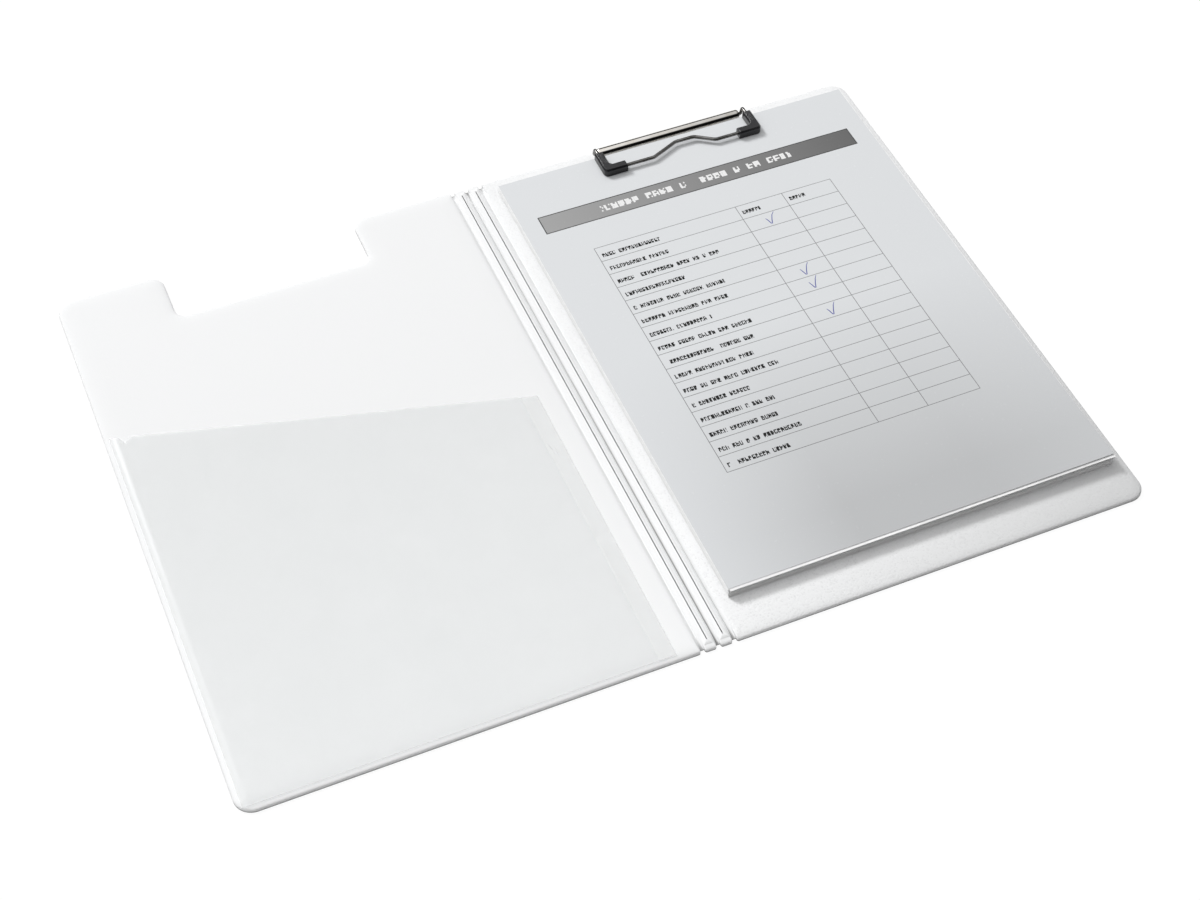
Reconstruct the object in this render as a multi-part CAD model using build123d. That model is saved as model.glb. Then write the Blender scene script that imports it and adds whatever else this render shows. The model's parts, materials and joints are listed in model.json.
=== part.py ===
"""Clipboard folder, lying open: a cover with a clear pocket, a two-strip spine and a back board
with a wire clip that holds a stack of sheets. Millimetres, +Z up, +Y towards the clip,
origin at the middle of the underside of the open folder."""
import math
import os

from build123d import *

# Driving dimensions, the open folder
folder_height = 332.0
cover_width = 222.8
back_width = 224.4
spine_pitch = 8.1
spine_strips = 2
corner_radius = 9.0
crease_corner_radius = 1.0
least_radius = 0.3

# Film, boards and welds
film = 0.4
board_thickness = 2.0
weld_width = 3.0
crease_gap = 2.4
crease_margin = 0.5
film_slope = 0.6

# Notch in the cover that lets the clip through
notch_width = 107.0
notch_depth = 33.5
notch_mouth_radius = 8.0
notch_inner_radius = 6.0

# Clear pocket inside the cover
pocket_film = 0.3
pocket_gap = 0.5
pocket_weld = 3.0
pocket_seam_width = 8.5
pocket_rim_inset = 2.6
pocket_right_inset = 12.4
pocket_left_drop = 100.5
pocket_slope_drop = 56.0
pocket_corner_radius = 4.0

# Clip: rolled sheet-metal tube on a riveted plate
tube_diameter = 6.0
tube_length = 87.0
tube_inset = 6.2
sheet_metal = 0.8
plate_depth = 17.0
plate_side_inset = 4.0
crimp_length = 3.0
wire_diameter = 2.0
wire_clearance = 0.1
plate_clearance = 0.1

# Rivets that hold the clip plate to the back board
rivet_shank = 3.0
rivet_head = 5.4
rivet_flare = 6.0
rivet_flare_thickness = 0.4
rivet_spacing = 60.0
rivet_clearance = 0.1
rivet_setback = 6.5

# Wire bail and its two grips
clip_width = 96.0
bail_reach = 22.0
bail_leg_length = 34.0
bail_bend_radius = 1.9
bail_rise_lean = 1.0
grip_section = 5.0
grip_side_length = 15.6
grip_front_length = 13.8
grip_bevel = 0.7
grip_corner_radius = 3.0
grip_clearance = 0.05
wave_depth = 7.0
wave_start = -17.5
wave_left_peak = -1.5
wave_right_peak = 9.8
wave_end = 20.5
wave_bend_radius = 5.0

# Sheets held in the clip
sheet_width = 210.0
sheet_length = 297.0
stack_thickness = 5.3
top_sheet_thickness = 0.2
sheet_top_margin = 11.6
clamp_clearance = 0.1

# Places worked out from the driving dimensions
total_width = cover_width + spine_strips * spine_pitch + back_width
left_edge = -total_width / 2
right_edge = total_width / 2
top_edge = folder_height / 2
bottom_edge = -folder_height / 2
creases = [left_edge + cover_width + i * spine_pitch for i in range(spine_strips + 1)]
weld_top = 2 * film
board_top = film + board_thickness
panel_top = board_top + film

clip_x = (creases[-1] + right_edge) / 2
tube_radius = tube_diameter / 2
wire_radius = wire_diameter / 2
tube_y = top_edge - tube_inset
tube_z = panel_top + tube_radius
plate_back = tube_y + tube_radius
plate_front = plate_back - plate_depth
plate_width = tube_length - 2 * plate_side_inset
plate_bottom = board_top - sheet_metal

stack_top = panel_top + stack_thickness
sheets_top = stack_top + top_sheet_thickness
sheet_top_edge = top_edge - sheet_top_margin
grip_bottom = sheets_top + clamp_clearance
bail_z = grip_bottom + grip_section / 2
bail_x = clip_width / 2 - grip_section / 2
bail_front = tube_y - bail_reach + grip_section / 2

# The shut cover lies mirrored over the back board, so the notch is centred on the clip
notch_x = creases[0] - (clip_x - creases[-1])


def panel_edges(left, right, free_left, free_right, inset):
    """Left, right, bottom and top of a panel; past the weld, a crease side is drawn in less."""
    crease_inset = max(inset - weld_width + crease_margin, 0)
    x0 = left + (inset if free_left else crease_inset)
    x1 = right - (inset if free_right else crease_inset)
    return x0, x1, bottom_edge + inset, top_edge - inset


def corner(radius, inset):
    return max(radius - inset, least_radius)


def plain_outline(left, right, free_left, free_right, inset=0.0):
    """Outline of the back board or a spine strip as a face at Z = 0."""
    x0, x1, y0, y1 = panel_edges(left, right, free_left, free_right, inset)
    r_left = corner(corner_radius if free_left else crease_corner_radius, inset)
    r_right = corner(corner_radius if free_right else crease_corner_radius, inset)
    points = [(x0, y0), (x1, y0), (x1, y1), (x0, y1)]
    radii = [r_left, r_right, r_right, r_left]
    return make_face(FilletPolyline(*points, radius=radii, close=True))


def cover_outline(inset=0.0):
    """Outline of the cover with its notch as a face at Z = 0."""
    x0, x1, y0, y1 = panel_edges(left_edge, creases[0] - crease_gap / 2, True, False, inset)
    n0 = notch_x - notch_width / 2 - inset
    n1 = notch_x + notch_width / 2 + inset
    floor = top_edge - notch_depth - inset
    outer = corner(corner_radius, inset)
    crease = corner(crease_corner_radius, inset)
    mouth = corner(notch_mouth_radius, inset)
    inner = notch_inner_radius + inset
    points = [(x0, y0), (x1, y0), (x1, y1), (n1, y1), (n1, floor), (n0, floor), (n0, y1), (x0, y1)]
    radii = [outer, crease, crease, mouth, inner, inner, mouth, outer]
    return make_face(FilletPolyline(*points, radius=radii, close=True))


def back_outline(inset=0.0):
    return plain_outline(creases[-1] + crease_gap / 2, right_edge, False, True, inset)


def strip_outline(index):
    def outline(inset=0.0):
        left = creases[index] + crease_gap / 2
        right = creases[index + 1] - crease_gap / 2
        return plain_outline(left, right, False, False, inset)
    return outline


def slab(face, bottom, top):
    return extrude(Pos(0, 0, bottom) * face, top - bottom, dir=(0, 0, 1))


def raised_block(outline, inset, bottom, top):
    """Block with a sloped rim: straight sides, then drawn in by the film's slope."""
    shoulder = top - film_slope
    straight = slab(outline(inset), bottom, shoulder)
    low = Pos(0, 0, shoulder) * outline(inset)
    high = Pos(0, 0, top) * outline(inset + film_slope)
    return straight + loft([low, high], ruled=True)


def stiffener(outline):
    return raised_block(outline, weld_width + film, film, board_top)


def inner_liner(outline):
    """Film that lies on the outer film at the weld and rises over the board."""
    flange = slab(outline(), film, weld_top)
    dome = raised_block(outline, weld_width, film, panel_top)
    return flange + dome - stiffener(outline)


def outer_film(outline):
    return slab(outline(), 0, film)


def crease_web(x):
    """Welded strip of both films that bends between two panels."""
    length = folder_height - 2 * crease_corner_radius
    return Pos(x, 0, weld_top / 2) * Box(crease_gap, length, weld_top)


def clear_pocket():
    """Clear film welded on three sides, open along its slanted upper edge."""
    x0 = left_edge + pocket_rim_inset
    x1 = creases[0] - pocket_right_inset
    y0 = bottom_edge + pocket_rim_inset
    y_left = top_edge - pocket_left_drop
    y_right = y_left - pocket_slope_drop
    slope = pocket_slope_drop / (x1 - x0)
    corners = [(x0, y0), (x1, y0), (x1, y_right), (x0, y_left)]
    radii = [pocket_corner_radius] * len(corners)
    bottom = panel_top
    top = bottom + pocket_gap + pocket_film
    sheet = slab(make_face(FilletPolyline(*corners, radius=radii, close=True)), bottom, top)
    a0 = x0 + pocket_weld
    a1 = x1 - pocket_seam_width
    past = 2 * pocket_weld
    inside = [(a0, y0 + pocket_weld), (a1, y0 + pocket_weld),
              (a1, y_left - slope * (a1 - x0) + past), (a0, y_left - slope * pocket_weld + past)]
    hollow = slab(make_face(Polyline(*inside, close=True)), bottom, bottom + pocket_gap)
    return sheet - hollow


def clip_slot(clearance):
    """Space of the plate, its neck and the way up through the liner."""
    width = plate_width + 2 * clearance
    depth = plate_depth + 2 * clearance
    plate = Pos(clip_x, (plate_back + plate_front) / 2, (plate_bottom + board_top) / 2)
    neck_y = plate_back - sheet_metal / 2
    neck = Pos(clip_x, neck_y, (plate_bottom + tube_z) / 2)
    neck_size = (width, sheet_metal + 2 * clearance, tube_z - plate_bottom)
    return plate * Box(width, depth, sheet_metal) + neck * Box(*neck_size)


def rivet_places():
    return [(clip_x + side * rivet_spacing / 2, tube_y - rivet_setback) for side in (-1, 1)]


def rivet(x, y, clearance=0.0):
    """Flush countersunk head in the plate, shank, and a flare under the board."""
    shank = rivet_shank / 2 + clearance
    head = rivet_head / 2
    flare = rivet_flare / 2 + clearance
    flare_top = film + rivet_flare_thickness
    profile = Polyline((0, film), (flare, film), (flare, flare_top), (shank, flare_top),
                       (shank, plate_bottom), (head, board_top), (0, board_top), close=True)
    return Pos(x, y, 0) * revolve(Plane.XZ * make_face(profile), Axis.Z)


def along_x(radius, x_from, x_to):
    middle = Pos((x_from + x_to) / 2, tube_y, tube_z)
    return middle * Rot(0, 90, 0) * Cylinder(radius, x_to - x_from)


def clip_base():
    """Sheet-metal plate whose back edge is rolled into the tube, crimped at both ends."""
    half = tube_length / 2
    tube = along_x(tube_radius, clip_x - half, clip_x + half)
    body = tube + clip_slot(0)
    bore = along_x(tube_radius - sheet_metal, clip_x - half + crimp_length,
                   clip_x + half - crimp_length)
    body -= bore
    body -= along_x(wire_radius + wire_clearance, clip_x - half, clip_x + half)
    for place in rivet_places():
        body -= rivet(*place)
    return body


def bail_points():
    """Corners of the wire's centre line, from the end of one leg to the end of the other."""
    rise_y = tube_y - bail_rise_lean
    side = [(bail_x, tube_y, tube_z), (bail_x, rise_y, bail_z), (bail_x, bail_front, bail_z)]
    leg_end = (tube_length / 2 - bail_leg_length, tube_y, tube_z)
    right = [leg_end] + side
    left = [(-x, y, z) for x, y, z in reversed(right)]
    peak_y = bail_front + wave_depth
    wave = [(wave_end, bail_front, bail_z), (wave_right_peak, peak_y, bail_z),
            (wave_left_peak, peak_y, bail_z), (wave_start, bail_front, bail_z)]
    return [(clip_x + x, y, z) for x, y, z in right + wave + left]


def bail_path():
    bend = bail_bend_radius
    wave = wave_bend_radius
    corner_radii = [bend, bend, bend, wave, wave, wave, wave, bend, bend, bend]
    return FilletPolyline(*bail_points(), radius=corner_radii)


def wire(radius):
    path = bail_path()
    start = Plane(origin=path @ 0, z_dir=path % 0)
    return sweep(start * Circle(radius), path=path, transition=Transition.RIGHT)


def grip(side):
    """L-shaped plastic cap over a front corner of the bail, bevelled along its top."""
    outer = clip_width / 2
    front = tube_y - bail_reach
    sketch = Polyline((outer, front), (outer, front + grip_side_length),
                      (outer - grip_section, front + grip_side_length),
                      (outer - grip_section, front + grip_section),
                      (outer - grip_front_length, front + grip_section),
                      (outer - grip_front_length, front), close=True)
    block = slab(make_face(sketch), grip_bottom, grip_bottom + grip_section)
    outer_corner = block.edges().filter_by(Axis.Z).sort_by(Axis.X)[-2:].sort_by(Axis.Y)[0]
    block = fillet(outer_corner, grip_corner_radius)
    block = chamfer(block.faces().sort_by(Axis.Z)[-1].edges(), grip_bevel)
    if side < 0:
        block = mirror(block, about=Plane.YZ)
    return Pos(clip_x, 0, 0) * block - wire(wire_radius + grip_clearance)


def sheet_block(bottom, top):
    y = sheet_top_edge - sheet_length / 2
    return Pos(clip_x, y, (bottom + top) / 2) * Box(sheet_width, sheet_length, top - bottom)


def write(name, shape):
    export_step(shape, f"parts/{name}.step")


def main():
    os.makedirs("parts", exist_ok=True)

    write("front_outer_film", outer_film(cover_outline))
    write("front_stiffener_board", stiffener(cover_outline))
    write("front_inner_liner", inner_liner(cover_outline))
    write("clear_pocket", clear_pocket())

    strip_names = ["front", "back"]
    for index in range(spine_strips):
        outline = strip_outline(index)
        write(f"spine_{strip_names[index]}_film", outer_film(outline))
        write(f"spine_{strip_names[index]}_stiffener", stiffener(outline))
        write(f"spine_{strip_names[index]}_liner", inner_liner(outline))
    for name, x in zip(["front", "middle", "back"], creases):
        write(f"crease_{name}", crease_web(x))

    slot = clip_slot(plate_clearance)
    rivets = [rivet(*place) for place in rivet_places()]
    rivet_holes = [rivet(*place, rivet_clearance) for place in rivet_places()]
    back_board = stiffener(back_outline) - slot
    back_liner = inner_liner(back_outline) - slot
    for hole in rivet_holes:
        back_board -= hole
    write("back_outer_film", outer_film(back_outline))
    write("back_stiffener_board", back_board)
    write("back_inner_liner", back_liner)

    write("clip_base", clip_base())
    write("clip_rivets", Compound(rivets))
    write("wire_bail", wire(wire_radius))
    write("left_grip_cap", grip(-1))
    write("right_grip_cap", grip(1))

    write("sheet_stack", sheet_block(panel_top, stack_top))
    write("form_sheet", sheet_block(stack_top, sheets_top))

    path = bail_path()
    wire_volume = math.pi * wire_radius ** 2 * path.length
    print("wire volume against section times length:", wire(wire_radius).volume, wire_volume)


main()
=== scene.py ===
"""Looks of an A4 clipboard folder lying open: white vinyl film over board, a clear pocket,
a rolled nickel clip with a wire bail and black grips, and the sheets it holds. Metres."""
import json
import math
import random

import bpy
from mathutils import Matrix, Vector


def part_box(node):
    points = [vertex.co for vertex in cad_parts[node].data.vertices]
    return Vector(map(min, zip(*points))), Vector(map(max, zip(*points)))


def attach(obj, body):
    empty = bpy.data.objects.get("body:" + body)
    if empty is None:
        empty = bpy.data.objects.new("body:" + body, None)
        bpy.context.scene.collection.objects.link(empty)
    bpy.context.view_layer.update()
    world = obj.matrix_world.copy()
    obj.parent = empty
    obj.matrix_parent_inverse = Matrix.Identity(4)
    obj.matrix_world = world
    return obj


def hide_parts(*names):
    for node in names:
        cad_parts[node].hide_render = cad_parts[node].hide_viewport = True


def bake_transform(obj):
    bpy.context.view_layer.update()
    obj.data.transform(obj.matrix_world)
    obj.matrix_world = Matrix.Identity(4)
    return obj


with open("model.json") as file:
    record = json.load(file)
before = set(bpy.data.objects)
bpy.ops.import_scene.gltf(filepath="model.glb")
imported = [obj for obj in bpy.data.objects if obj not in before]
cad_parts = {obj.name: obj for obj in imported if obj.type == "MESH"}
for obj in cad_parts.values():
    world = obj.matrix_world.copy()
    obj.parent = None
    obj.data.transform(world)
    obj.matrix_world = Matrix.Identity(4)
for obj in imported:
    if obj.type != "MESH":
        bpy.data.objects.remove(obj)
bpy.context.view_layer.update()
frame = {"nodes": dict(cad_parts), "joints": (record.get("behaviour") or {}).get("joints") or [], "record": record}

MM = 0.001
chance = random.Random(41)

# Sizes of the film work, as in the construction
WELD = 3.0 * MM
CREASE_MARGIN = 0.5 * MM
CREASE_GAP = 2.4 * MM
CORNER = 9.0 * MM
CREASE_CORNER = 1.0 * MM
NOTCH_MOUTH = 8.0 * MM
NOTCH_INNER = 6.0 * MM
WIRE_RADIUS = 1.0 * MM
TUBE_RADIUS = 3.0 * MM
GRIP_SECTION = 5.0 * MM
GRIP_SIDE = 15.6 * MM
GRIP_FRONT = 13.8 * MM
SEAM_WIDTH = 8.5 * MM
MOUTH_DROP = 56.0 * MM

# The bail's wave and bends, as in the construction, measured from the clip's middle
WAVE_DEPTH = 7.0 * MM
WAVE_START = -17.5 * MM
WAVE_LEFT_PEAK = -1.5 * MM
WAVE_RIGHT_PEAK = 9.8 * MM
WAVE_END = 20.5 * MM
WAVE_BEND = 5.0 * MM
BAIL_BEND = 1.9 * MM
RISE_LEAN = 1.0 * MM
LEG_END = 9.5 * MM
FORM_CURL = 1.6 * MM

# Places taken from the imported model
joints = {joint["name"]: joint for joint in frame["joints"]}
CREASE_NAMES = ["front", "middle", "back"]
creases = [joints[f"{name}_crease_fold"]["pos_m"][0] for name in CREASE_NAMES]
cover_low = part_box("front_outer_film")[0]
back_low, back_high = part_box("back_outer_film")
panel_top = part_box("back_inner_liner")[1].z
tube_low, tube_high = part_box("clip_base")
clip_x, tube_y, tube_z = joints["bail_lift"]["pos_m"]
left_grip_low, left_grip_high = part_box("left_grip_cap")
right_grip_low, right_grip_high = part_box("right_grip_cap")
pocket_low, pocket_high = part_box("clear_pocket")
stack_low, stack_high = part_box("sheet_stack")
form_low, form_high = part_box("form_sheet")
openings = {hole["name"]: hole["box_m"] for hole in frame["record"]["physics"]["openings"]}
notch_margin = 0.6 * MM
notch_left = openings["clip_notch"][0][0] - notch_margin
notch_right = openings["clip_notch"][1][0] + notch_margin
notch_floor = openings["clip_notch"][0][1] - notch_margin


# Shader maths

class Tone:
    """A value, colour or vector inside a material, so that shader maths reads as sums."""

    def __init__(self, recipe, socket):
        self.recipe = recipe
        self.socket = socket

    def maths(self, operation, *others, clamp=False):
        values = dict(enumerate((self, *others)))
        return self.recipe.add("ShaderNodeMath", {"operation": operation, "use_clamp": clamp}, values)

    def __add__(self, other):
        return self.maths("ADD", other)

    __radd__ = __add__

    def __sub__(self, other):
        return self.maths("SUBTRACT", other)

    def __rsub__(self, other):
        return self.recipe.add("ShaderNodeMath", {"operation": "SUBTRACT"}, {0: other, 1: self})

    def __mul__(self, other):
        return self.maths("MULTIPLY", other)

    __rmul__ = __mul__

    def __truediv__(self, other):
        return self.maths("DIVIDE", other)

    def __gt__(self, other):
        return self.maths("GREATER_THAN", other)

    def __lt__(self, other):
        return self.maths("LESS_THAN", other)

    def __abs__(self):
        return self.maths("ABSOLUTE")

    def fraction(self):
        return self.maths("FRACT")

    def floor(self):
        return self.maths("FLOOR")

    def clamped(self):
        return self.maths("ADD", 0.0, clamp=True)

    def most(self, other):
        return self.maths("MAXIMUM", other)

    def ramp(self, low, high):
        """0 below low, 1 above high, straight between."""
        return ((self - low) / (high - low)).clamped()


class NodeTree:
    """Nodes of a material or of the sky, and the links between them."""

    def __init__(self, tree):
        self.tree = tree
        tree.nodes.clear()

    def add(self, kind, settings=None, sockets=None, output=0):
        node = self.tree.nodes.new(kind)
        for key, value in (settings or {}).items():
            setattr(node, key, value)
        for key, value in (sockets or {}).items():
            if isinstance(value, Tone):
                self.tree.links.new(value.socket, node.inputs[key])
            else:
                node.inputs[key].default_value = value
        return Tone(self, node.outputs[output]) if len(node.outputs) else None

    def parts(self, vector):
        """The three parts of a vector."""
        split = self.add("ShaderNodeSeparateXYZ", {}, {0: vector}).socket.node
        return (Tone(self, out) for out in split.outputs)


class Recipe(NodeTree):
    """One procedural material."""

    def __init__(self, name):
        self.material = bpy.data.materials.new(name)
        self.material.use_nodes = True
        super().__init__(self.material.node_tree)
        self.place = self.add("ShaderNodeTexCoord", output="Object")
        self.x, self.y, self.z = self.parts(self.place)

    def stretched(self, x=1.0, y=1.0, z=1.0):
        return self.add("ShaderNodeVectorMath", {"operation": "MULTIPLY"}, {0: self.place, 1: (x, y, z)})

    def noise(self, scale, detail=3.0, roughness=0.5, at=None):
        sockets = {"Vector": at or self.place, "Scale": scale, "Detail": detail, "Roughness": roughness}
        return self.add("ShaderNodeTexNoise", {}, sockets)

    def cells(self, scale, feature="F1"):
        return self.add("ShaderNodeTexVoronoi", {"feature": feature}, {"Vector": self.place, "Scale": scale})

    def speckle(self, *along):
        """A random value for each whole step of the given value."""
        joined = self.add("ShaderNodeCombineXYZ", {}, dict(enumerate(along)))
        return self.add("ShaderNodeTexWhiteNoise", {"noise_dimensions": "3D"}, {"Vector": joined})

    def colour(self, share, low, high):
        """Colour low where share is 0, high where it is 1."""
        sockets = {"Factor": share, 6: low, 7: high}
        return self.add("ShaderNodeMix", {"data_type": "RGBA"}, sockets, output=2)

    def bump(self, height, distance, strength=1.0, under=None):
        sockets = {"Height": height, "Distance": distance, "Strength": strength}
        if under is not None:
            sockets["Normal"] = under
        return self.add("ShaderNodeBump", {}, sockets)

    def surface(self, **sockets):
        """The shader itself; words_with_underscores name its sockets."""
        named = {key.replace("_", " ").title(): value for key, value in sockets.items()}
        if "Specular Ior Level" in named:
            named["Specular IOR Level"] = named.pop("Specular Ior Level")
        shader = self.add("ShaderNodeBsdfPrincipled", {}, named)
        self.add("ShaderNodeOutputMaterial", {}, {"Surface": shader})
        return self.material


def grey(value):
    return (value, value, value, 1.0)


def shaded(colour, share):
    """The same colour at a share of its brightness."""
    return tuple(part * share for part in colour[:3]) + (1.0,)


# Shares of the film's brightness kept where shade is painted on it: at the clip end, in the
# grain's hollows, on the rim, and at the leather's lower right
FAR_END_PAINTED_SHADE = 0.89
GRAIN_HOLLOW_PAINTED_SHADE = 0.80
RIM_PAINTED_SHADE = 0.90
FALLOFF_PAINTED_SHADE = 0.62
WHITE_FILM = (0.92, 0.925, 0.93, 1.0)


def embossed_vinyl(name, base, grain, depth, pressed, streak=0.0):
    """White film with a fine leather grain pressed into it. Painted shade darkens the grain's
    hollows, the clip end, the rim, the leather's lower right and a line along the lower edge.
    """
    m = Recipe(name)
    pebble = m.cells(1.0 / grain)
    crumb = m.noise(1.6 / grain, 2.0)
    height = pebble * 0.5 + crumb * 0.5
    if streak:
        ribs = m.noise(1.0 / (2.2 * grain), 2.0, at=m.stretched(1.0, 0.12, 1.0))
        height = height + ribs * streak
    broad = m.noise(9.0, 3.0)
    smudge = m.noise(38.0, 4.0, 0.6)
    cloudy = (broad * 0.6 + smudge * 0.4 - 0.28) * 1.6
    tint = m.colour(cloudy, shaded(base, 0.965), base)
    # Painted shade: the film darker towards the clip end
    tint = m.colour(m.y.ramp(-0.16, 0.03) * 0.9, tint, shaded(base, FAR_END_PAINTED_SHADE))
    # Painted shade in the grain's hollows
    tint = m.colour(height.ramp(0.62, 0.30) * pressed, tint, shaded(base, GRAIN_HOLLOW_PAINTED_SHADE))
    # Painted shade on the rim's slope, below the panel's top
    tint = m.colour(1.0 - m.z.ramp(1.2 * MM, 2.5 * MM), tint, shaded(base, RIM_PAINTED_SHADE))
    # Painted shade: the leather darker towards its lower right, where the light falls off
    painted_falloff = m.x.ramp(0.0, back_high.x) * (1.0 - m.y.ramp(-0.16, 0.10)) * pressed
    tint = m.colour(painted_falloff * 0.9, tint, shaded(base, FALLOFF_PAINTED_SHADE))
    # Painted shade: a dark grey line along the film's lower edge, where the shadow under the edge falls
    tint = m.colour((1.0 - m.z.ramp(0.45 * MM, 1.15 * MM)) * (m.z > 0.04 * MM), tint, grey(0.28))
    rough = 0.40 + 0.16 * smudge + 0.06 * pebble
    ripple = m.bump(broad, 0.9 * MM, 0.25)
    return m.surface(base_color=tint, roughness=rough, specular_ior_level=0.04 + 0.05 * pressed,
                     normal=m.bump(height, depth, 0.8, under=ripple))


def clear_film():
    m = Recipe("clear_pocket_film")
    haze = m.noise(22.0, 4.0, 0.55)
    scuff = m.noise(160.0, 5.0, 0.7, at=m.stretched(1.0, 0.2, 1.0)).ramp(0.64, 0.80)
    wave = m.noise(14.0, 2.0, at=m.stretched(1.0, 0.45, 1.0))
    seam_start = pocket_high.x - SEAM_WIDTH
    fused = m.x.ramp(seam_start - 0.3 * MM, seam_start + 0.3 * MM)
    rim = 1.0 - m.x.ramp(pocket_low.x + 0.5 * MM, pocket_low.x + 1.2 * MM)
    open_film = 0.15 + 0.03 * haze + 0.02 * scuff
    return m.surface(base_color=m.colour(fused.most(rim), (0.80, 0.82, 0.82, 1.0), (0.90, 0.91, 0.91, 1.0)),
                     roughness=0.20 + 0.2 * haze + 0.1 * scuff, alpha=open_film + fused * 0.1,
                     specular_ior_level=0.5, normal=m.bump(wave, 0.8 * MM, 0.25))


def grey_board():
    m = Recipe("grey_board")
    fibre = m.noise(900.0, 5.0, 0.7, at=m.stretched(1.0, 0.35, 1.0))
    fleck = m.cells(420.0).ramp(0.0, 0.25)
    tint = m.colour(fibre, (0.40, 0.38, 0.35, 1.0), (0.58, 0.56, 0.52, 1.0))
    tint = m.colour(fleck * 0.2, tint, (0.3, 0.28, 0.25, 1.0))
    return m.surface(base_color=tint, roughness=0.85 + 0.1 * fibre, normal=m.bump(fibre, 0.08 * MM, 0.6))


def nickel(name, base, shade, rough, tube=False):
    """Bright nickel plate with drawing lines along the metal and a little tarnish. On the
    tube a dark streak runs where the sheets in front of it keep the light out."""
    m = Recipe(name)
    lines = m.noise(2600.0, 3.0, 0.6, at=m.stretched(0.02, 1.0, 1.0))
    tarnish = m.noise(120.0, 4.0, 0.6)
    tint = m.colour(tarnish.ramp(0.35, 0.75), base, shade)
    if tube:
        above = (m.z - tube_z) / TUBE_RADIUS
        in_front = m.y < tube_y - 0.3 * TUBE_RADIUS
        streak = above.ramp(0.30, 0.42) * (1.0 - above.ramp(0.80, 0.88)) + (1.0 - above.ramp(-0.25, -0.05))
        tint = m.colour(streak.clamped() * in_front, tint, (0.035, 0.034, 0.033, 1.0))
    return m.surface(base_color=tint, metallic=1.0, roughness=rough + 0.06 * tarnish + 0.04 * lines,
                     normal=m.bump(lines, 0.012 * MM, 0.35))


def black_moulding():
    m = Recipe("black_moulded_plastic")
    spark = m.cells(2600.0, "SMOOTH_F1")
    rub = m.noise(420.0, 4.0, 0.65)
    tint = m.colour(rub.ramp(0.5, 0.8), (0.010, 0.010, 0.012, 1.0), (0.028, 0.028, 0.030, 1.0))
    return m.surface(base_color=tint, roughness=0.17 + 0.16 * rub, specular_ior_level=0.5,
                     normal=m.bump(spark, 0.03 * MM, 0.5))


def paper_edges():
    m = Recipe("stacked_paper")
    fibre = m.noise(700.0, 4.0)
    sheet_tone = m.speckle((m.z / (0.12 * MM)).floor())
    tint = m.colour(sheet_tone * 0.7 + fibre * 0.3, grey(0.74), grey(0.94))
    return m.surface(base_color=tint, roughness=0.7 + 0.2 * fibre, normal=m.bump(fibre, 0.02 * MM, 0.5))


# The printed form: every line is where a ruler would find it on the sheet
HEADER_LEFT = 10.3 * MM
HEADER_RIGHT = 199.0 * MM
HEADER_TOP = 31.6 * MM
HEADER_BOTTOM = 45.3 * MM
TABLE_LEFT = 29.6 * MM
TABLE_RIGHT = 171.2 * MM
TABLE_TOP = 65.2 * MM
TABLE_ROWS = 16
ROW_PITCH = 10.47 * MM
DONE_LEFT = 113.2 * MM
DATE_LEFT = 141.4 * MM
HAIRLINE = 0.36 * MM
BAR_OUTLINE = 0.6 * MM
LETTER_PITCH = 1.9 * MM


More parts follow.
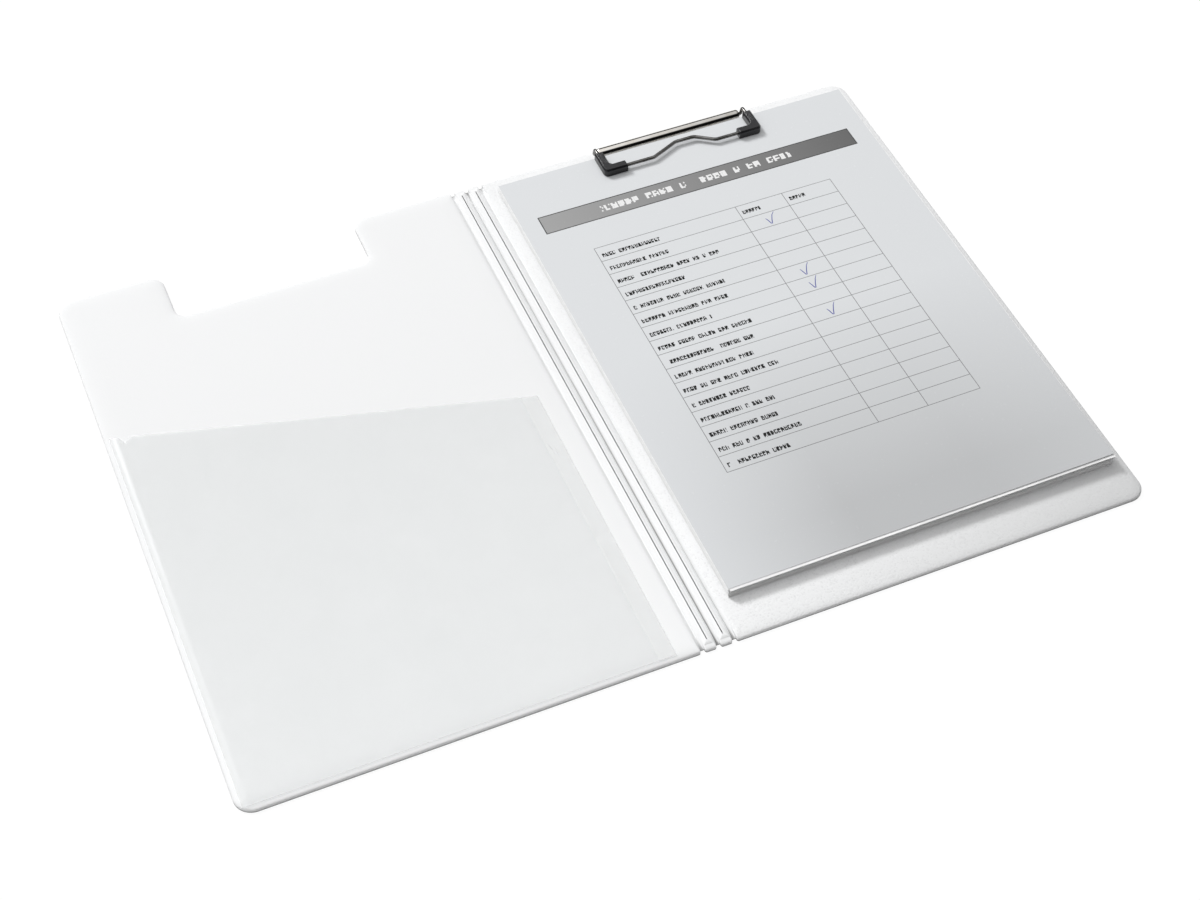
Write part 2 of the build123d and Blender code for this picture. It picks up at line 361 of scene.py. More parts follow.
def printed_form():
    """Glossy sheet with a grey title bar, a ruled table and grey dummy lines, no words. Painted
    shade darkens the page towards its lower right and the title bar towards its right.
    """
    m = Recipe("printed_form")
    across = m.x - form_low.x
    down = form_high.y - m.y

    def between(value, low, high):
        return (value > low) * (value < high)

    def block(left, right, top, bottom):
        return between(across, left, right) * between(down, top, bottom)

    bar = block(HEADER_LEFT, HEADER_RIGHT, HEADER_TOP, HEADER_BOTTOM)
    bar_core = block(HEADER_LEFT + BAR_OUTLINE, HEADER_RIGHT - BAR_OUTLINE,
                     HEADER_TOP + BAR_OUTLINE, HEADER_BOTTOM - BAR_OUTLINE)
    table_bottom = TABLE_TOP + TABLE_ROWS * ROW_PITCH
    inside = block(TABLE_LEFT - HAIRLINE / 2, TABLE_RIGHT + HAIRLINE / 2,
                   TABLE_TOP - HAIRLINE / 2, table_bottom + HAIRLINE / 2)
    row_place = (down - TABLE_TOP + ROW_PITCH / 2) / ROW_PITCH
    row_line = abs(row_place.fraction() - 0.5) < HAIRLINE / 2 / ROW_PITCH
    column_line = abs(across - TABLE_LEFT) < HAIRLINE / 2
    for place in (DONE_LEFT, DATE_LEFT, TABLE_RIGHT):
        column_line = column_line.most(abs(across - place) < HAIRLINE / 2)
    ruled = inside * row_line.most(column_line)

    row = ((down - TABLE_TOP) / ROW_PITCH).floor()
    in_row = (down - TABLE_TOP) / ROW_PITCH - row
    length = 26.0 * MM + 34.0 * MM * m.speckle(row, 3.0)
    text_start = TABLE_LEFT + 2.2 * MM

    def scribble(start, level, pitch, seed):
        """Letter-sized marks that spell nothing: random cells with a space here and there."""
        step = (across - start) / pitch
        letter = step.floor()
        in_letter = step - letter
        cell_across = (in_letter * 3.0).floor()
        cell_down = (level * 4.0).floor()
        filled = m.speckle(cell_across + letter * 3.0, cell_down, row + seed) > 0.36
        upright = (in_letter > 0.05) * (in_letter < 0.32)
        spaced = m.speckle(letter, row, seed) > 0.14
        return filled.most(upright) * (in_letter < 0.86) * between(level, 0.0, 1.0) * spaced

    dummy = scribble(text_start, (in_row - 0.48) / 0.27, LETTER_PITCH, 0.0)
    dummy = dummy * between(across, text_start, text_start + length)
    dummy = dummy * between(down, TABLE_TOP, table_bottom)
    heads = between(across, DONE_LEFT + 2.0 * MM, DONE_LEFT + 12.5 * MM).most(
        between(across, DATE_LEFT + 2.0 * MM, DATE_LEFT + 11.5 * MM))
    heading = scribble(DONE_LEFT, (in_row - 0.40) / 0.26, LETTER_PITCH, 5.0)
    heading = heading * heads * (row < 0.5) * (down > TABLE_TOP)

    page_width, page_height = form_high.x - form_low.x, form_high.y - form_low.y
    # Painted shade: the page falls from light to grey towards its lower right
    page_painted_shade = 0.65 * (down / page_height).ramp(0.5, 0.92) * (across / page_width).ramp(-0.05, 0.35)
    page_painted_shade = page_painted_shade * (1.0 - 0.3 * (across / page_width).ramp(0.7, 1.0)) + 0.05
    fibre = m.noise(500.0, 4.0)
    white = m.colour(page_painted_shade, (0.70, 0.715, 0.73, 1.0), (0.40, 0.405, 0.41, 1.0))
    # Painted shade: the title bar darker towards its right
    bar_painted_shade = m.colour(across / page_width, grey(0.36), grey(0.12))
    title_level = (down - HEADER_TOP - 4.6 * MM) / (4.4 * MM)
    title = scribble(HEADER_LEFT, title_level, 4.1 * MM, 9.0) * between(across, 45.0 * MM, 160.0 * MM)
    page = m.colour(bar, white, grey(0.06))
    page = m.colour(bar_core, page, m.colour(title, bar_painted_shade, grey(0.80)))
    page = m.colour(ruled * 0.72, page, grey(0.05))
    page = m.colour(dummy.most(heading), page, grey(0.012))
    return m.surface(base_color=page, roughness=0.24 + 0.05 * fibre, specular_ior_level=0.22,
                     normal=m.bump(m.noise(16.0, 2.0), 0.4 * MM, 0.25))


def ball_pen_ink():
    m = Recipe("blue_ball_pen_ink")
    skip = m.noise(2400.0, 2.0)
    return m.surface(base_color=m.colour(skip, (0.03, 0.04, 0.22, 1.0), (0.10, 0.12, 0.42, 1.0)),
                     roughness=0.4 + 0.2 * skip)


# Mesh building

def mesh_piece(name, points, faces, material, body=None, smooth=True, sharp=None):
    mesh = bpy.data.meshes.new(name)
    mesh.from_pydata([tuple(p) for p in points], [], faces)
    mesh.validate()
    mesh.materials.append(material)
    for polygon in mesh.polygons:
        polygon.use_smooth = smooth
    piece = bpy.data.objects.new(name, mesh)
    bpy.context.scene.collection.objects.link(piece)
    if sharp is not None:
        mesh.set_sharp_from_angle(angle=math.radians(sharp))
    if body:
        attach(piece, body)
    return piece


def loops_to_faces(loop_count, size):
    """Quads between neighbouring closed loops of equal size, with a cap on each end loop."""
    faces = []
    for i in range(loop_count - 1):
        a, b = i * size, (i + 1) * size
        for k in range(size):
            n = (k + 1) % size
            faces.append((a + k, a + n, b + n, b + k))
    faces.append(tuple(range(size - 1, -1, -1)))
    faces.append(tuple(range((loop_count - 1) * size, loop_count * size)))
    return faces


def sheet_faces(columns, rows):
    """Faces of a thin sheet: a lower and an upper grid of points, joined round the border."""
    width = columns + 1
    level = width * (rows + 1)
    faces = []
    for r in range(rows):
        for c in range(columns):
            a = r * width + c
            quad = (a, a + 1, a + 1 + width, a + width)
            faces.append(tuple(reversed(quad)))
            faces.append(tuple(level + k for k in quad))
    border = list(range(columns)) + [r * width + columns for r in range(rows)]
    border += [rows * width + c for c in range(columns, 0, -1)] + [r * width for r in range(rows, 0, -1)]
    for i, a in enumerate(border):
        b = border[(i + 1) % len(border)]
        faces.append((a, b, level + b, level + a))
    return faces


def arc_corner(before, corner, after, radius, steps=9):
    """Points of a round corner between two straight edges."""
    corner = Vector(corner)
    to_before = (Vector(before) - corner).normalized()
    to_after = (Vector(after) - corner).normalized()
    half = to_before.angle(to_after) / 2
    reach = radius / math.tan(half)
    centre = corner + (to_before + to_after).normalized() * (radius / math.sin(half))
    start = corner + to_before * reach - centre
    end = corner + to_after * reach - centre
    turn = start.angle(end)
    points = []
    for i in range(steps + 1):
        t = i / steps
        blend = (math.sin((1 - t) * turn) * start + math.sin(t * turn) * end) / math.sin(turn)
        points.append(centre + blend)
    return points


class Panel:
    """Outline of one panel of the folder, which can be drawn in by any inset."""

    def __init__(self, left, right, free_left, free_right, notched=False):
        self.left, self.right = left, right
        self.free_left, self.free_right = free_left, free_right
        self.notched = notched

    def side_inset(self, free, inset):
        if free:
            return inset
        return inset * CREASE_MARGIN / WELD if inset < WELD else inset - WELD + CREASE_MARGIN

    def outline(self, inset, height):
        x0 = self.left + self.side_inset(self.free_left, inset)
        x1 = self.right - self.side_inset(self.free_right, inset)
        y0, y1 = back_low.y + inset, back_high.y - inset
        least = 0.25 * MM
        round_left = max((CORNER if self.free_left else CREASE_CORNER) - inset, least)
        round_right = max((CORNER if self.free_right else CREASE_CORNER) - inset, least)
        corners = [(x0, y0, round_left), (x1, y0, round_right), (x1, y1, round_right)]
        if self.notched:
            n0, n1 = notch_left - inset, notch_right + inset
            floor = notch_floor - inset
            mouth = max(NOTCH_MOUTH - inset, least)
            inner = NOTCH_INNER + inset
            corners += [(n1, y1, mouth), (n1, floor, inner), (n0, floor, inner), (n0, y1, mouth)]
        corners.append((x0, y1, round_left))
        points = []
        for i, (x, y, radius) in enumerate(corners):
            before = corners[i - 1]
            after = corners[(i + 1) % len(corners)]
            for p in arc_corner(before[:2], (x, y), after[:2], radius):
                points.append((p.x, p.y, height))
        return points


def film_shell(name, panel, profile, material, body):
    """Closed shell that follows a panel's outline; profile lists inset and height in mm."""
    loops = [panel.outline(inset * MM, height * MM) for inset, height in profile]
    size = len(loops[0])
    points = [p for loop in loops for p in loop]
    return mesh_piece(name, points, loops_to_faces(len(loops), size), material, body, sharp=50)


# Each profile runs from the inside of the film round the rim to the middle of the panel
OUTER_PROFILE = [(4.0, 0.0), (1.2, 0.0), (0.5, 0.02), (0.18, 0.10), (0.02, 0.22), (0.0, 0.32),
                 (0.12, 0.40), (0.8, 0.42), (4.0, 0.42)]
FILM_INSIDE = [(9.0, 2.42), (4.05, 2.42), (3.42, 1.84), (3.36, 0.43), (0.5, 0.43), (0.12, 0.47)]
RIM = [(0.0, 0.60), (0.04, 1.00), (0.16, 1.50), (0.42, 1.88), (0.9, 2.12)]
PANEL_PROFILE = FILM_INSIDE + RIM + [(1.8, 2.32), (3.2, 2.52), (5.0, 2.64), (8.0, 2.74), (12.0, 2.80)]
STRIP_PROFILE = [(4.7, 2.42), (4.05, 2.42), (3.42, 1.84), (3.36, 0.43), (0.5, 0.43), (0.12, 0.47),
                 (0.0, 0.60), (0.05, 1.00), (0.2, 1.45), (0.6, 1.80), (1.6, 1.96), (2.6, 2.04),
                 (2.95, 2.08), (3.05, 2.14), (3.2, 2.24), (3.5, 2.40), (3.9, 2.55), (4.3, 2.67),
                 (4.7, 2.75), (5.1, 2.79), (5.3, 2.80)]


def half_gap(x, side):
    return x + side * CREASE_GAP / 2


cover_panel = Panel(cover_low.x, half_gap(creases[0], -1), True, False, notched=True)
back_panel = Panel(half_gap(creases[2], 1), back_high.x, False, True)
strip_panels = [Panel(half_gap(creases[i], 1), half_gap(creases[i + 1], -1), False, False) for i in range(2)]


def dress_panels():
    vinyl = embossed_vinyl("white_vinyl_film", WHITE_FILM, grain=0.9 * MM, depth=0.05 * MM,
                           pressed=0.08, streak=0.5)
    leather = embossed_vinyl("leather_grain_film", WHITE_FILM, grain=1.25 * MM, depth=0.30 * MM,
                             pressed=0.9, streak=0.3)
    board = grey_board()
    rows = [("front", cover_panel, PANEL_PROFILE, "front_cover", vinyl),
            ("back", back_panel, PANEL_PROFILE, "back_board", leather),
            ("spine_front", strip_panels[0], STRIP_PROFILE, "spine_front", vinyl),
            ("spine_back", strip_panels[1], STRIP_PROFILE, "spine_back", vinyl)]
    for name, panel, profile, body, film in rows:
        spine = name.startswith("spine")
        outer_node = f"{name}_film" if spine else f"{name}_outer_film"
        liner_node = f"{name}_liner" if spine else f"{name}_inner_liner"
        stiffener_node = f"{name}_stiffener" if spine else f"{name}_stiffener_board"
        outer = film_shell(f"{name}_outer_skin", panel, OUTER_PROFILE, leather, body)
        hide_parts(outer_node)
        liner = film_shell(f"{name}_liner_skin", panel, profile, film, body)
        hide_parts(liner_node)
        frame["nodes"][stiffener_node].data.materials[0] = board
    return vinyl


# Height of the folded film across half a crease, from the weld line out to the panel's shoulder
HALF_CREASE = [(0.0, 0.50), (0.18, 0.56), (0.32, 0.95), (0.5, 1.42), (0.75, 1.78), (1.05, 2.03),
               (1.5, 2.24), (2.0, 2.38), (2.45, 2.44), (2.5, 2.2)]
CREASE_SECTION = [(-x, z) for x, z in reversed(HALF_CREASE)] + HALF_CREASE[1:]
CREASE_UNDER = 0.05
END_SETBACK = 0.9 * MM
VALLEY_HEIGHT = {"front": 1.15, "middle": 0.5, "back": 0.85}


def dress_creases(film):
    stations = 44
    for i, name in enumerate(CREASE_NAMES):
        low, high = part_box(f"crease_{name}")
        low_y, high_y = low.y + END_SETBACK, high.y - END_SETBACK
        under = [(x, CREASE_UNDER) for x, z in reversed(CREASE_SECTION) if abs(x) < 1.3]
        ring = CREASE_SECTION + under
        points = []
        for k in range(stations + 1):
            share = k / stations
            y = low_y + (high_y - low_y) * share
            valley = VALLEY_HEIGHT[name] + 0.45 * share
            from_end = min(y - low_y, high_y - y)
            fullness = 0.45 + 0.55 * min(1.0, (from_end / (4 * MM)) ** 0.5)
            for x, z in ring:
                height = max(z, valley) * fullness if z > CREASE_UNDER else CREASE_UNDER
                points.append((creases[i] + x * MM, y, height * MM))
        faces = loops_to_faces(stations + 1, len(ring))
        web = mesh_piece(f"crease_{name}_web", points, faces, film, sharp=60)
        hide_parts(f"crease_{name}")
        reach = 1.25 * MM
        creases[i] - reach
        creases[i] + reach
        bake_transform(web)


def rim_shape(inward):
    """Height in mm of the film over its weld: a flat weld, a groove, then the free film."""
    weld, groove, free = 0.6 * MM, 1.3 * MM, 3.0 * MM
    if inward < weld:
        return 0.10
    if inward < groove:
        return 0.10 - 0.10 * (inward - weld) / (groove - weld)
    return min(1.0, (inward - groove) / (free - groove)) * 0.5


def dress_pocket():
    """Clear film with a welded rim, a rippled seam and a slanted open mouth."""
    film = clear_film()
    columns, rows = 180, 150
    width = pocket_high.x - pocket_low.x
    nick_at, nick_half, nick_deep = 7.0 * MM, 2.7 * MM, 4.6 * MM
    points = []
    for side in (0, 1):
        for r in range(rows + 1):
            for c in range(columns + 1):
                x = pocket_low.x + width * c / columns
                across = x - pocket_low.x
                mouth = pocket_high.y - MOUTH_DROP * across / width
                mouth -= max(0.0, 1.0 - abs(across - nick_at) / nick_half) * nick_deep
                v = r / rows
                y = pocket_low.y + (mouth - pocket_low.y) * v
                up = y - pocket_low.y
                from_seam = pocket_high.x - x
                weld_ripple = 0.25 * MM * math.sin(x / (2.3 * MM) + 2.0 * math.sin(x / (13 * MM)))
                inward = min(across, up + weld_ripple, max(from_seam - SEAM_WIDTH, 0.0) + 0.8 * MM)
                swell = 1.0 + 0.35 * math.sin(3.0 * x / 0.1 + 1.0) * math.sin(2.2 * y / 0.1)
                lift = 0.02 + rim_shape(inward) * swell
                if from_seam < SEAM_WIDTH:
                    ripple = math.sin(y / (3.1 * MM) + 1.3 * math.sin(y / (17 * MM)))
                    ridge = math.exp(-((from_seam - 1.2 * MM) / (0.9 * MM)) ** 2)
                    ridge += math.exp(-((from_seam - 7.2 * MM) / (0.9 * MM)) ** 2)
                    lift += (0.14 + 0.07 * ripple) * ridge
                thick = 0.16 if side else 0.0
                points.append((x, y, panel_top + (lift + thick) * MM))
    faces = sheet_faces(columns, rows)
    pocket = mesh_piece("pocket_film_sheet", points, faces, film, "front_cover", sharp=60)
    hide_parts("clear_pocket")


def turned(name, profile, material, body, groove_angle=None, steps=72):
    """Closed profile of (x, radius) in mm, turned about the tube's axis, with a seam groove."""
    points = []
    for x, radius in profile:
        for k in range(steps):
            angle = 2 * math.pi * k / steps
            depth = 0.0
            if groove_angle is not None and radius > 2.5:
                away = abs((angle - groove_angle + math.pi) % (2 * math.pi) - math.pi)
                depth = 0.32 * max(0.0, 1.0 - away / math.radians(6.0))
            r = (radius - depth) * MM
            points.append((clip_x + x * MM, tube_y + r * math.cos(angle), tube_z + r * math.sin(angle)))
    faces = []
    count = len(profile)
    for i in range(count):
        a, b = i * steps, ((i + 1) % count) * steps
        for k in range(steps):
            n = (k + 1) % steps
            faces.append((a + k, b + k, b + n, a + n))
    return mesh_piece(name, points, faces, material, body, sharp=40)


def bevelled_box(name, low, high, bevel, material, body, segments=3):
    xs, ys, zs = ((low[i], high[i]) for i in range(3))
    points = [(x, y, z) for z in zs for y in ys for x in xs]
    faces = [(0, 2, 3, 1), (4, 5, 7, 6), (0, 1, 5, 4), (2, 6, 7, 3), (0, 4, 6, 2), (1, 3, 7, 5)]
    box = mesh_piece(name, points, faces, material, sharp=35)
    add_bevel(box, bevel, segments)
    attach(box, body)
    return box


def add_bevel(piece, width, segments=3, angle=30.0):
    bevel = piece.modifiers.new("soft_edges", "BEVEL")
    bevel.width = width
    bevel.segments = segments
    bevel.limit_method = "ANGLE"
    bevel.angle_limit = math.radians(angle)
    bevel.harden_normals = True


def dress_clip():
    bright = nickel("nickel_plate", (0.78, 0.765, 0.74, 1.0), (0.62, 0.58, 0.52, 1.0), 0.05, tube=True)
    half = (tube_high.x - tube_low.x) / 2 / MM
    profile = [(-half + 0.35, 2.82), (-half + 0.8, 2.96), (-half + 1.6, 3.0), (half - 1.6, 3.0),
               (half - 0.8, 2.96), (half - 0.35, 2.82), (half - 0.05, 2.55), (half, 2.2), (half, 1.7),
               (half - 0.25, 1.25), (half - 0.8, 1.12), (-half + 0.8, 1.12), (-half + 0.25, 1.25),
               (-half, 1.7), (-half, 2.2), (-half + 0.05, 2.55)]
    tube = turned("rolled_tube", profile, bright, "back_board", groove_angle=math.radians(214))
    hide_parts("clip_base")
    neck_half = half - 4.0
    back = tube_y + TUBE_RADIUS
    neck = bevelled_box("tube_neck", (clip_x - neck_half * MM, back - 0.8 * MM, panel_top - 1.2 * MM),
                        (clip_x + neck_half * MM, back, tube_z), 0.2 * MM, bright, "back_board")
    plate_depth = 17.0 * MM
    plate = bevelled_box("clip_plate", (clip_x - neck_half * MM, back - plate_depth, panel_top - 1.2 * MM),
                         (clip_x + neck_half * MM, back, panel_top - 0.4 * MM), 0.2 * MM, bright,
                         "back_board")
    rivets = nickel("rivet_steel", (0.56, 0.56, 0.56, 1.0), (0.40, 0.40, 0.40, 1.0), 0.28)
    frame["nodes"]["clip_rivets"].data.materials[0] = rivets


def bent_line(corners, radii, steps=12):
    """Centre line through corners, each rounded by its own radius."""
    line = [Vector(corners[0])]
    for i, radius in enumerate(radii):
        line += arc_corner(corners[i], corners[i + 1], corners[i + 2], radius, steps)
    line.append(Vector(corners[-1]))
    return line


def swept_wire(name, line, radius, material, body, sides=20):
    """Round wire along a line, with rounded ends."""
    rings = []
    side = Vector((0, 0, 1))
    for i, point in enumerate(line):
        ahead = line[min(i + 1, len(line) - 1)] - line[max(i - 1, 0)]
        ahead.normalize()
        side = (side - ahead * side.dot(ahead)).normalized()
        other = ahead.cross(side)
        rings.append((point, ahead, side, other))
    first, last = rings[0], rings[-1]
    caps_first = [(-0.3, 0.55), (-0.12, 0.88)]
    caps_last = [(0.12, 0.88), (0.3, 0.55)]
    stations = [(first, along, size) for along, size in caps_first]
    stations += [(ring, 0.0, 1.0) for ring in rings]
    stations += [(last, along, size) for along, size in caps_last]
    points = []
    for (point, ahead, up, other), along, size in stations:
        for k in range(sides):
            angle = 2 * math.pi * k / sides
            offset = up * math.cos(angle) + other * math.sin(angle)
            points.append(point + ahead * along * radius + offset * radius * size)
    return mesh_piece(name, points, loops_to_faces(len(stations), sides), material, body)


def dress_bail():
    wire = nickel("spring_wire", (0.24, 0.235, 0.23, 1.0), (0.07, 0.067, 0.063, 1.0), 0.08)
    reach_x = (right_grip_high.x - GRIP_SECTION / 2) - clip_x
    bail_z = right_grip_low.z + GRIP_SECTION / 2
    front = right_grip_low.y + GRIP_SECTION / 2
    right = [(LEG_END, tube_y, tube_z), (reach_x, tube_y, tube_z), (reach_x, tube_y - RISE_LEAN, bail_z),
             (reach_x, front, bail_z)]
    peak = front + WAVE_DEPTH
    wave = [(WAVE_END, front, bail_z), (WAVE_RIGHT_PEAK, peak, bail_z),
            (WAVE_LEFT_PEAK, peak, bail_z), (WAVE_START, front, bail_z)]
    left = [(-x, y, z) for x, y, z in reversed(right)]
    corners = [(clip_x + x, y, z) for x, y, z in right + wave + left]
    radii = [BAIL_BEND] * 3 + [WAVE_BEND] * len(wave) + [BAIL_BEND] * 3
    bail = swept_wire("bail_spring_wire", bent_line(corners, radii), WIRE_RADIUS, wire, "bail")
    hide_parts("wire_bail")


def dress_grips():
    moulding = black_moulding()
    arm = GRIP_SECTION / MM
    length, reach = GRIP_FRONT / MM, GRIP_SIDE / MM
    for side, name, low, high in ((-1, "left", left_grip_low, left_grip_high),
                                  (1, "right", right_grip_low, right_grip_high)):
        outer = high.x if side > 0 else low.x
        front, base, top = low.y, low.z, high.z - 0.12 * MM

        def at(inward, along):
            return outer - side * inward * MM, front + along * MM

        outline = [(2.2, 0.0), (length, 0.0), (length, arm), (arm + 1.0, arm), (arm, arm + 1.0),
                   (arm, reach), (0.0, reach), (0.0, 2.4), (0.35, 1.3), (1.1, 0.4)]
        section = [(0.25, 0.0), (0.0, 0.3), (0.0, arm - 1.15), (0.85, arm - 0.12)]
        points = []
        for draw_in, height in section:
            for inward, along in outline:
                middle_in = arm / 2 if along > arm + 0.5 else max(arm / 2, min(inward, length - 1.0))
                middle_along = arm / 2 if inward > arm + 0.5 else max(arm / 2, min(along, reach - 1.0))
                pull = Vector((middle_in - inward, middle_along - along))
                if pull.length > 0:
                    pull = pull * min(1.0, draw_in / pull.length)
                x, y = at(inward + pull.x, along + pull.y)
                points.append((x, y, base + height * MM))
        faces = loops_to_faces(len(section), len(outline))
        if side > 0:
            faces = [tuple(reversed(face)) for face in faces]
        cap = mesh_piece(f"{name}_grip", points, faces, moulding, sharp=30)
        add_bevel(cap, 0.24 * MM, 3, angle=20.0)
        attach(cap, "bail")
        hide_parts(f"{name}_grip_cap")
        for k in range(4):
            x0, y0 = at(1.25 + 0.7 * k, arm + 1.6)
            x1, y1 = at(1.5 + 0.7 * k, reach - 1.2)
            rib = bevelled_box(f"{name}_grip_rib_{k + 1}", (min(x0, x1), y0, top - 0.4 * MM),
                               (max(x0, x1), y1, high.z), 0.08 * MM, moulding, "bail", 2)


def dress_sheets():
    """A stack of separate sheets a little out of line, and the printed one on top."""
    paper = paper_edges()
    sheet_count = 38
    pitch = (stack_high.z - stack_low.z) / sheet_count
    points, faces = [], []
    for k in range(sheet_count):
        slip_x = chance.uniform(-0.28, 0.28) * MM
        slip_y = chance.uniform(-0.35, 0.35) * MM
        fan = (1.0 - k / sheet_count) * 0.7 * MM
        z0 = stack_low.z + pitch * k
        z1 = z0 + pitch * 0.90
        base = len(points)
        for z in (z0, z1):
            for x, y in ((stack_low.x, stack_low.y), (stack_high.x, stack_low.y),
                         (stack_high.x, stack_high.y), (stack_low.x, stack_high.y)):
                points.append((x + slip_x, y + slip_y - fan * (y < 0), z))
        faces += [tuple(base + i for i in face) for face in
                  ((3, 2, 1, 0), (4, 5, 6, 7), (0, 1, 5, 4), (1, 2, 6, 5), (2, 3, 7, 6), (3, 0, 4, 7))]
    stack = mesh_piece("loose_sheets", points, faces, paper, "sheets", smooth=False)
    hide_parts("sheet_stack")
    curled_sheet("second_sheet", 0.02 * MM, (0.4 * MM, -1.3 * MM), 1.1 * MM, paper, 0.0)
    form = curled_sheet("form_page", 0.16 * MM, (0.0, 0.0), FORM_CURL, printed_form(),
                        0.25 * MM)
    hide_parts("form_sheet")
    pen_ticks()


def curl_height(x, y, rise):
    """How far a sheet's free lower right corner has lifted at a place."""
    along = (x - form_low.x) / (form_high.x - form_low.x)
    down = (form_high.y - y) / (form_high.y - form_low.y)
    return rise * max(0.0, (along * 0.45 + down - 0.82) / 0.63) ** 2


def curled_sheet(name, above, shift, rise, material, tuck):
    columns, rows = 40, 56
    points = []
    for side in (0, 1):
        for r in range(rows + 1):
            for c in range(columns + 1):
                x = form_low.x + (form_high.x - form_low.x) * c / columns
                y = form_low.y + (form_high.y - form_low.y) * r / rows
                lift = curl_height(x, y, rise)
                z = form_low.z + above + lift + side * 0.09 * MM
                points.append((x + shift[0], y + shift[1] + tuck * (1 - r / rows), z))
    sheet = mesh_piece(name, points, sheet_faces(columns, rows), material, "sheets", sharp=60)
    return sheet


def pen_ticks():
    """Four check marks in the first narrow column, drawn with a ball pen."""
    ink = ball_pen_ink()
    column = form_low.x + (DONE_LEFT + DATE_LEFT) / 2
    for k, row in enumerate((1, 5, 6, 8)):
        middle = form_high.y - TABLE_TOP - (row + 0.5) * ROW_PITCH
        lean = chance.uniform(-0.6, 0.6)
        strokes = [(-2.6, 1.2), (-2.0, -0.4), (-1.2, -3.4), (-0.7, -3.5), (0.4, -0.6), (1.9, 2.6),
                   (3.4 + lean, 4.6)]
        points = []
        for i, (x, y) in enumerate(strokes):
            width = (0.16, 0.24, 0.26, 0.26, 0.24, 0.2, 0.12)[i] * MM
            ahead = Vector(strokes[min(i + 1, 6)]) - Vector(strokes[max(i - 1, 0)])
            across = Vector((-ahead.y, ahead.x)).normalized() * width
            for sign in (1, -1):
                px = column + x * MM + sign * across.x
                py = middle + y * MM + sign * across.y
                base = form_low.z + 0.25 * MM + curl_height(px, py, FORM_CURL)
                points.append((px, py, base))
                points.append((px, py, base + 0.03 * MM))
        faces = [(1, 3, 2, 0), (len(points) - 4, len(points) - 2, len(points) - 1, len(points) - 3)]
        for i in range(len(strokes) - 1):
            a, b = 4 * i, 4 * i + 4
            faces += [(a + 1, b + 1, b + 3, a + 3), (a, a + 2, b + 2, b), (a, b, b + 1, a + 1),
                      (a + 2, a + 3, b + 3, b + 2)]
        tick = mesh_piece(f"pen_tick_{k + 1}", points, faces, ink, "sheets", smooth=False)


# Studio

WINDOW_LEVEL = 1.20
SIDE_LEVEL = 0.305
ROOM_LEVEL = 0.06
FLOOR_GLOW = 1.05
FLOOR_GLOW_SHARE = 0.88
FLOOR_HALF_WIDTH = 6.0
FLOOR_DROP = 0.0002
KEY_PLACE = (-1.5, 2.9, 3.1)
KEY_TARGET = (-0.03, 0.0, 0.0)
KEY_WIDTH = 1.1
KEY_POWER = 127.0
CAMERA_PLACE = (-273.4 * MM, -653.8 * MM, 812.4 * MM)
CAMERA_AZIMUTH = 23.435
CAMERA_DROP = 50.287
CAMERA_ROLL = 0.527
CAMERA_LENS = 63.48


def studio_floor():
    m = Recipe("white_floor")
    rays = m.add("ShaderNodeLightPath").socket.node.outputs
    seen = Tone(m, rays["Is Camera Ray"]).most(Tone(m, rays["Is Glossy Ray"])).most(
        Tone(m, rays["Is Transmission Ray"]))
    paint = m.add("ShaderNodeBsdfDiffuse", {}, {"Color": grey(0.80)})
    glow = m.add("ShaderNodeEmission", {}, {"Color": grey(1.0), "Strength": FLOOR_GLOW})
    mixed = m.add("ShaderNodeMixShader", {}, {0: seen * FLOOR_GLOW_SHARE, 1: paint, 2: glow})
    m.add("ShaderNodeOutputMaterial", {}, {"Surface": mixed})
    size = FLOOR_HALF_WIDTH
    points = [(-size, -size, 0), (size, -size, 0), (size, size, 0), (-size, size, 0)]
    floor = mesh_piece("studio_floor", points, [(0, 1, 2, 3)], m.material)
    floor.location.z = -FLOOR_DROP


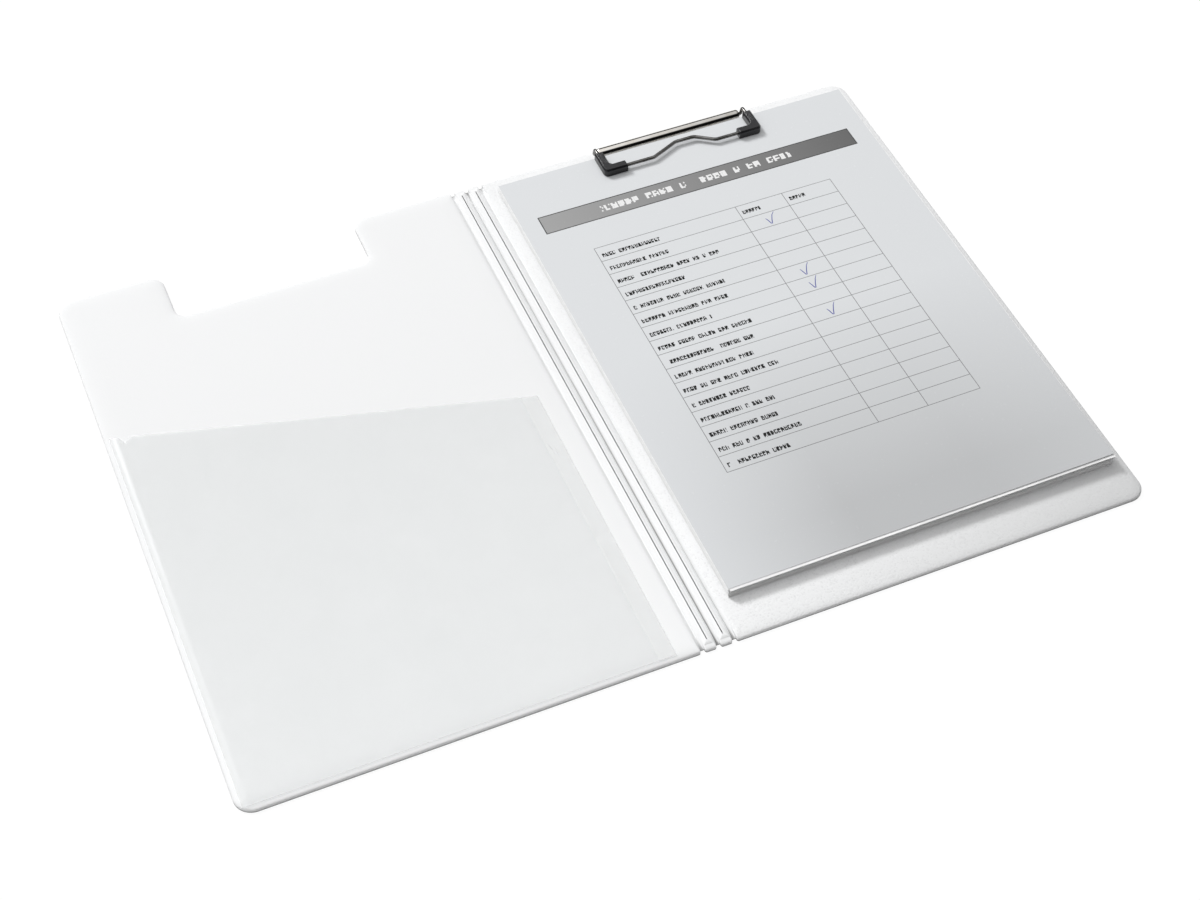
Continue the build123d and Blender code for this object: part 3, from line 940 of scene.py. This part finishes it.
def studio_sky():
    """White to the camera. The object sees a wide soft box overhead, a little fill from both
    sides, and a dark room round the horizon, which gives the metal its dark bands."""
    world = bpy.data.worlds.new("studio_sky")
    bpy.context.scene.world = world
    world.use_nodes = True
    sky = NodeTree(world.node_tree)
    right, ahead, height = sky.parts(sky.add("ShaderNodeTexCoord", output="Generated"))
    rays = sky.add("ShaderNodeLightPath").socket.node.outputs
    camera = Tone(sky, rays["Is Camera Ray"]).most(Tone(sky, rays["Is Transmission Ray"]))
    window = right.ramp(-0.8, -0.5) * (1.0 - right.ramp(0.20, 0.62))
    window = window * ahead.ramp(-0.55, -0.42) * (1.0 - ahead.ramp(0.70, 0.80)) * height.ramp(0.48, 0.62)
    sides = abs(right).ramp(0.35, 0.8) * height.ramp(0.0, 0.15)
    room = WINDOW_LEVEL * window + SIDE_LEVEL * sides + ROOM_LEVEL
    level = camera + (1.0 - camera) * room
    glow = sky.add("ShaderNodeBackground", {}, {"Color": grey(1.0), "Strength": level})
    sky.add("ShaderNodeOutputWorld", {}, {"Surface": glow})


def studio_lamp():
    """One square soft lamp behind the folder, to its left."""
    light = bpy.data.lights.new("back_left_key", "AREA")
    light.shape = "RECTANGLE"
    light.size = KEY_WIDTH
    light.size_y = KEY_WIDTH
    light.energy = KEY_POWER
    lamp = bpy.data.objects.new("back_left_key", light)
    bpy.context.scene.collection.objects.link(lamp)
    lamp.location = KEY_PLACE
    toward = Vector(KEY_TARGET) - Vector(KEY_PLACE)
    lamp.rotation_euler = toward.to_track_quat("-Z", "Y").to_euler()


def photo_camera():
    """Where the photograph was taken from: above the near left corner."""
    azimuth, drop, roll = (math.radians(a) for a in (CAMERA_AZIMUTH, CAMERA_DROP, CAMERA_ROLL))
    ahead = Vector((math.sin(azimuth) * math.cos(drop), math.cos(azimuth) * math.cos(drop), -math.sin(drop)))
    level = ahead.cross(Vector((0, 0, 1))).normalized()
    over = level.cross(ahead)
    right = level * math.cos(roll) + over * math.sin(roll)
    up = right.cross(ahead)
    data = bpy.data.cameras.new("photo_camera")
    data.lens = CAMERA_LENS
    data.sensor_width = 36.0
    data.clip_start = 0.01
    camera = bpy.data.objects.new("photo_camera", data)
    bpy.context.scene.collection.objects.link(camera)
    turn = Matrix((right, up, -ahead)).transposed().to_4x4()
    camera.matrix_world = Matrix.Translation(CAMERA_PLACE) @ turn
    bpy.context.scene.camera = camera


def main():
    film = dress_panels()
    dress_creases(film)
    dress_pocket()
    dress_clip()
    dress_bail()
    dress_grips()
    dress_sheets()
    studio_floor()
    studio_sky()
    studio_lamp()
    photo_camera()
    bpy.context.scene.view_settings.view_transform = "Standard"


main()
